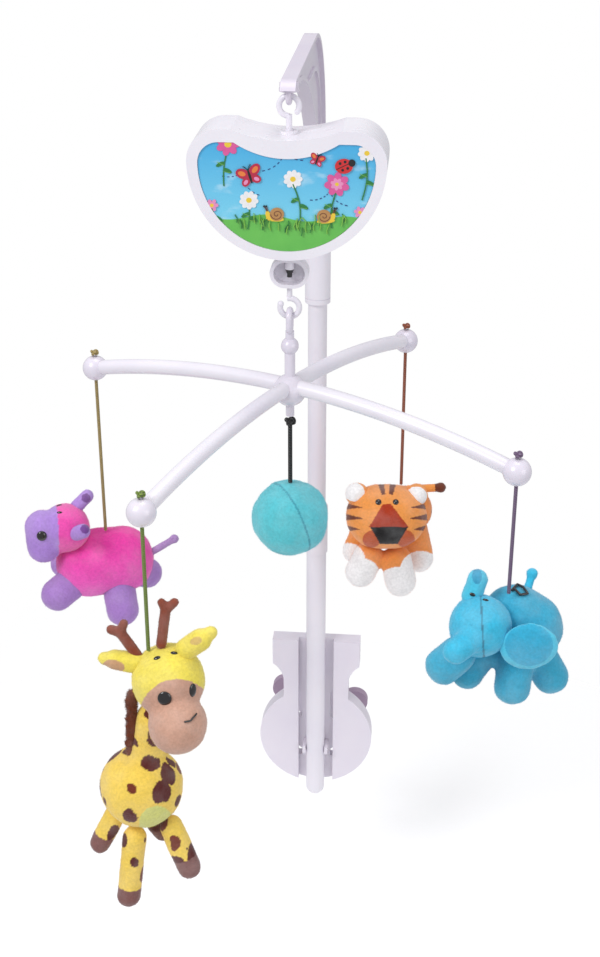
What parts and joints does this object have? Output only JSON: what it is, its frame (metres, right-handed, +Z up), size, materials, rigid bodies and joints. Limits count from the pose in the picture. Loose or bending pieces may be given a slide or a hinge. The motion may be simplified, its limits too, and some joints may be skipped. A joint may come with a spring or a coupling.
{
  "type": "crib mobile",
  "caption": "Musical crib mobile with a rail clamp, upright mast, arched arm, hanging music box and turning spider that carries plush animals on cords.",
  "frame": {"origin": "centre of the upper rail pad's face, where the clamp meets the crib rail", "axes": "+Y out of the pad face through the rail, +Z up the mast, +X to the right seen from the arm side"},
  "size_m": [0.4193, 0.536, 0.7573],
  "materials": {
    "white_plastic": "smooth, slightly mauve white",
    "arm_plastic": "smooth, slightly mauve white",
    "knob_plastic": "fine satin",
    "pad_rubber": "dull",
    "steel": "fine brushed",
    "brass": "turned",
    "black_metal": "satin black",
    "picture_print": "printed film with a meadow picture",
    "plush_hippo_pink": "short plush, hot pink",
    "plush_hippo_lilac": "short plush, lilac",
    "plush_giraffe_yellow": "short plush, yellow with brown spots",
    "plush_giraffe_brown": "short plush and yarn, brown",
    "plush_tiger_orange": "short plush, orange with brown stripes",
    "plush_elephant_blue": "short plush, turquoise",
    "plush_ball": "short plush, turquoise",
    "cord_gold": "twisted cord",
    "cord_green": "twisted cord",
    "cord_rust": "twisted cord",
    "cord_purple": "twisted cord",
    "cord_black": "braided cord"
  },
  "bodies": {
    "clamp": {"clamp_plate": "white_plastic", "rail_pads": "pad_rubber", "clamp_bolt": "steel", "lower_tube": "white_plastic", "lower_coupler": "white_plastic", "upper_tube": "white_plastic", "upper_coupler": "white_plastic"},
    "pressure_foot": {"pressure_plate": "white_plastic"},
    "knob": {"wing_knob": "knob_plastic"},
    "arm": {"crook_arm": "arm_plastic", "arm_loop": "arm_plastic"},
    "hook": {"case_hook": "white_plastic"},
    "music_box": {"case_front": "white_plastic", "case_back": "white_plastic", "picture_panel": "picture_print", "case_screws": "steel", "movement_plate": "steel", "tuned_comb": "steel", "governor": "steel"},
    "winder": {"winding_shaft": "black_metal", "spring_barrel": "brass", "mainspring": "steel", "winding_grip": "white_plastic", "shaft_nut": "black_metal"},
    "melody": {"melody_cylinder": "brass"},
    "spider": {"hub_post": "white_plastic", "hub_body": "white_plastic", "spider_arm_1": "white_plastic", "spider_arm_2": "white_plastic", "spider_arm_3": "white_plastic", "spider_arm_4": "white_plastic", "arm_balls": "white_plastic", "string_knots": "cord_black"},
    "ball_pendant": {"ball_cord": "cord_black", "centre_ball": "plush_ball"},
    "hippo_line": {"string_hippo": "cord_gold"},
    "hippo": {"hippo_body": "plush_hippo_pink", "hippo_head": "plush_hippo_pink", "hippo_ears": "plush_hippo_lilac", "hippo_legs": "plush_hippo_lilac", "hippo_tail": "plush_hippo_lilac"},
    "giraffe_line": {"string_giraffe": "cord_green"},
    "giraffe": {"giraffe_body": "plush_giraffe_yellow", "giraffe_head": "plush_giraffe_yellow", "giraffe_ears": "plush_giraffe_yellow", "giraffe_horns": "plush_giraffe_brown", "giraffe_mane": "plush_giraffe_brown", "giraffe_legs": "plush_giraffe_yellow"},
    "tiger_line": {"string_tiger": "cord_rust"},
    "tiger": {"tiger_body": "plush_tiger_orange", "tiger_head": "plush_tiger_orange", "tiger_ears": "plush_tiger_orange", "tiger_legs": "plush_tiger_orange", "tiger_tail": "plush_tiger_orange"},
    "elephant_line": {"string_elephant": "cord_purple"},
    "elephant": {"elephant_body": "plush_elephant_blue", "elephant_head": "plush_elephant_blue", "elephant_ears": "plush_elephant_blue", "elephant_legs": "plush_elephant_blue", "elephant_tail": "plush_elephant_blue"}
  },
  "joints": [
    {"name": "clamp_slide", "type": "slide", "parent": "clamp", "child": "pressure_foot", "axis": [0, 1, 0], "range_m": [-0.018, 0.015]},
    {"name": "knob_spin", "type": "hinge", "parent": "pressure_foot", "child": "knob", "pos_m": [0, 0.0376, -0.078], "axis": [0, 1, 0], "range_deg": [-2160, 1800]},
    {"name": "arm_swivel", "type": "hinge", "parent": "clamp", "child": "arm", "pos_m": [0, -0.02, 0.4163], "axis": [0, 0, 1], "range_deg": [-60, 60]},
    {"name": "hook_swing", "type": "hinge", "parent": "arm", "child": "hook", "pos_m": [0, -0.27, 0.5938], "axis": [-1, 0, 0], "range_deg": [-6, 6]},
    {"name": "box_yaw", "type": "hinge", "parent": "hook", "child": "music_box", "pos_m": [0, -0.27, 0.578], "axis": [0, 0, 1], "range_deg": [-25, 25]},
    {"name": "winder_turn", "type": "hinge", "parent": "music_box", "child": "winder", "pos_m": [0, -0.27, 0.4754], "axis": [0, 0, 1], "continuous": true},
    {"name": "melody_turn", "type": "hinge", "parent": "music_box", "child": "melody", "pos_m": [0.02142, -0.27, 0.514], "axis": [0, 0, 1], "continuous": true},
    {"name": "spider_swing", "type": "hinge", "parent": "winder", "child": "spider", "pos_m": [0, -0.27, 0.448], "axis": [0, 1, 0], "range_deg": [-5, 5]},
    {"name": "ball_swing", "type": "hinge", "parent": "spider", "child": "ball_pendant", "pos_m": [0, -0.27, 0.3649], "axis": [1, 0, 0], "range_deg": [-10, 10]},
    {"name": "hippo_swing", "type": "hinge", "parent": "spider", "child": "hippo_line", "pos_m": [-0.15675, -0.1922, 0.35959], "axis": [-0.4446, -0.8957, 0], "range_deg": [-8, 8]},
    {"name": "hippo_twist", "type": "hinge", "parent": "hippo_line", "child": "hippo", "pos_m": [-0.15675, -0.1922, 0.25], "axis": [0, 0, 1], "range_deg": [-90, 90]},
    {"name": "giraffe_swing", "type": "hinge", "parent": "spider", "child": "giraffe_line", "pos_m": [-0.0778, -0.42675, 0.35959], "axis": [0.8957, -0.4446, 0], "range_deg": [-8, 8]},
    {"name": "giraffe_twist", "type": "hinge", "parent": "giraffe_line", "child": "giraffe", "pos_m": [-0.0778, -0.42675, 0.25], "axis": [0, 0, 1], "range_deg": [-90, 90]},
    {"name": "tiger_swing", "type": "hinge", "parent": "spider", "child": "tiger_line", "pos_m": [0.0778, -0.11325, 0.35959], "axis": [-0.8957, 0.4446, 0], "range_deg": [-8, 8]},
    {"name": "tiger_twist", "type": "hinge", "parent": "tiger_line", "child": "tiger", "pos_m": [0.0778, -0.11325, 0.25], "axis": [0, 0, 1], "range_deg": [-90, 90]},
    {"name": "elephant_swing", "type": "hinge", "parent": "spider", "child": "elephant_line", "pos_m": [0.15675, -0.3478, 0.35959], "axis": [0.4446, 0.8957, 0], "range_deg": [-8, 8]},
    {"name": "elephant_twist", "type": "hinge", "parent": "elephant_line", "child": "elephant", "pos_m": [0.15675, -0.3478, 0.25], "axis": [0, 0, 1], "range_deg": [-90, 90]}
  ],
  "couplings": [
    {"joint": "clamp_slide", "follows": "knob_spin", "m_per_rad": 0.00047746},
    {"joint": "melody_turn", "follows": "winder_turn", "ratio": -3}
  ]
}
